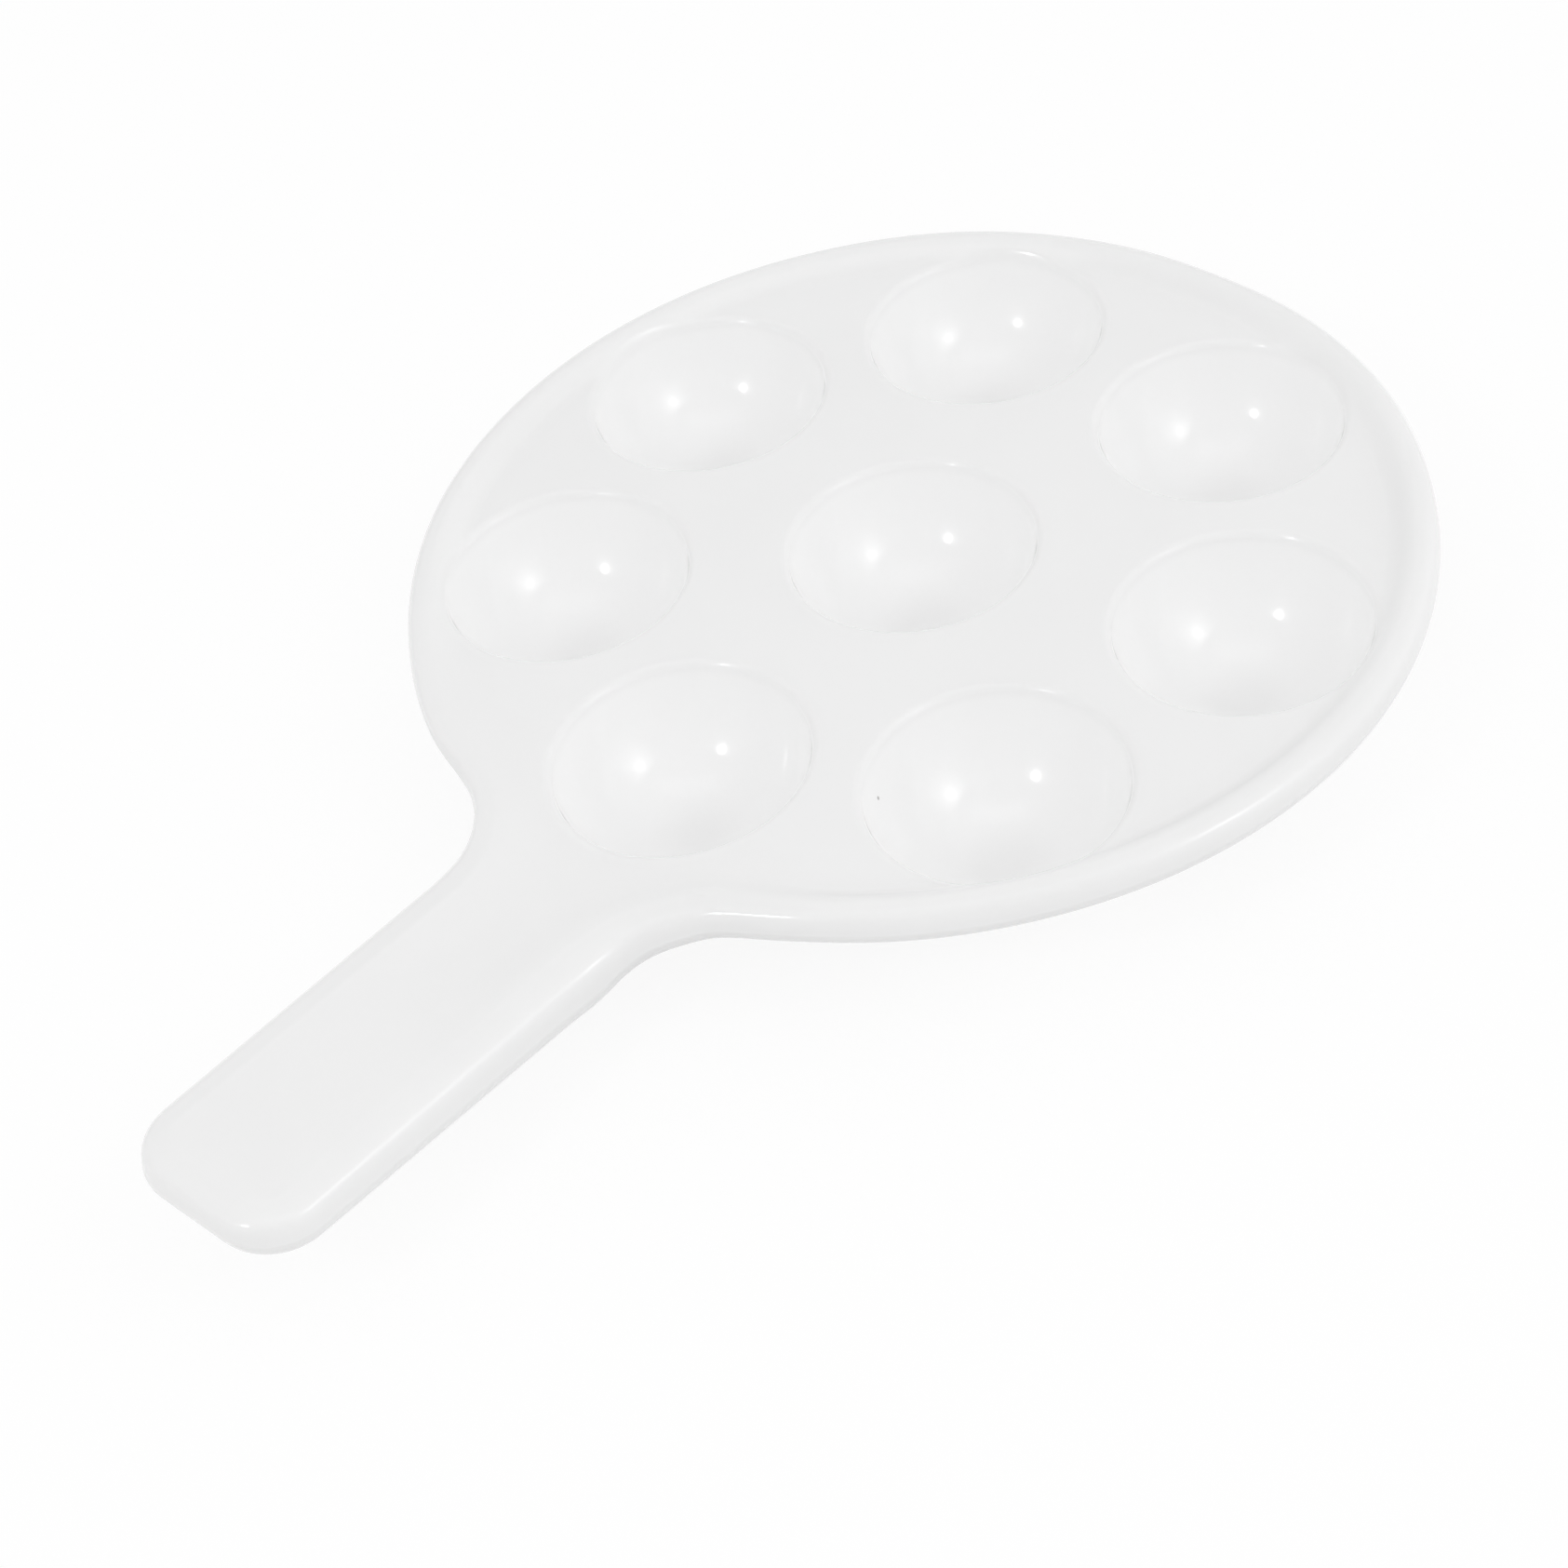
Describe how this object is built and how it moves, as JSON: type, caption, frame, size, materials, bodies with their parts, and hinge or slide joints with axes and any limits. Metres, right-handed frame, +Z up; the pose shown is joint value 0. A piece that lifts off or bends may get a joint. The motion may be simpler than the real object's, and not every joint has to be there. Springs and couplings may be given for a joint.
{
  "type": "escargot dish",
  "caption": "Round glazed ceramic dish with hemispherical snail wells sunk in a flat deck, a low raised rim and a flat handle in one piece.",
  "frame": {"origin": "centre of the flat foot under the middle well, on the plane that the dish stands on", "axes": "+X along the handle, +Z up out of the wells"},
  "size_m": [0.2356, 0.1616, 0.0217],
  "materials": {
    "white_glaze": "smooth white gloss glaze over a pale ceramic body"
  },
  "bodies": {
    "root": {"dish": "white_glaze"}
  },
  "joints": []
}
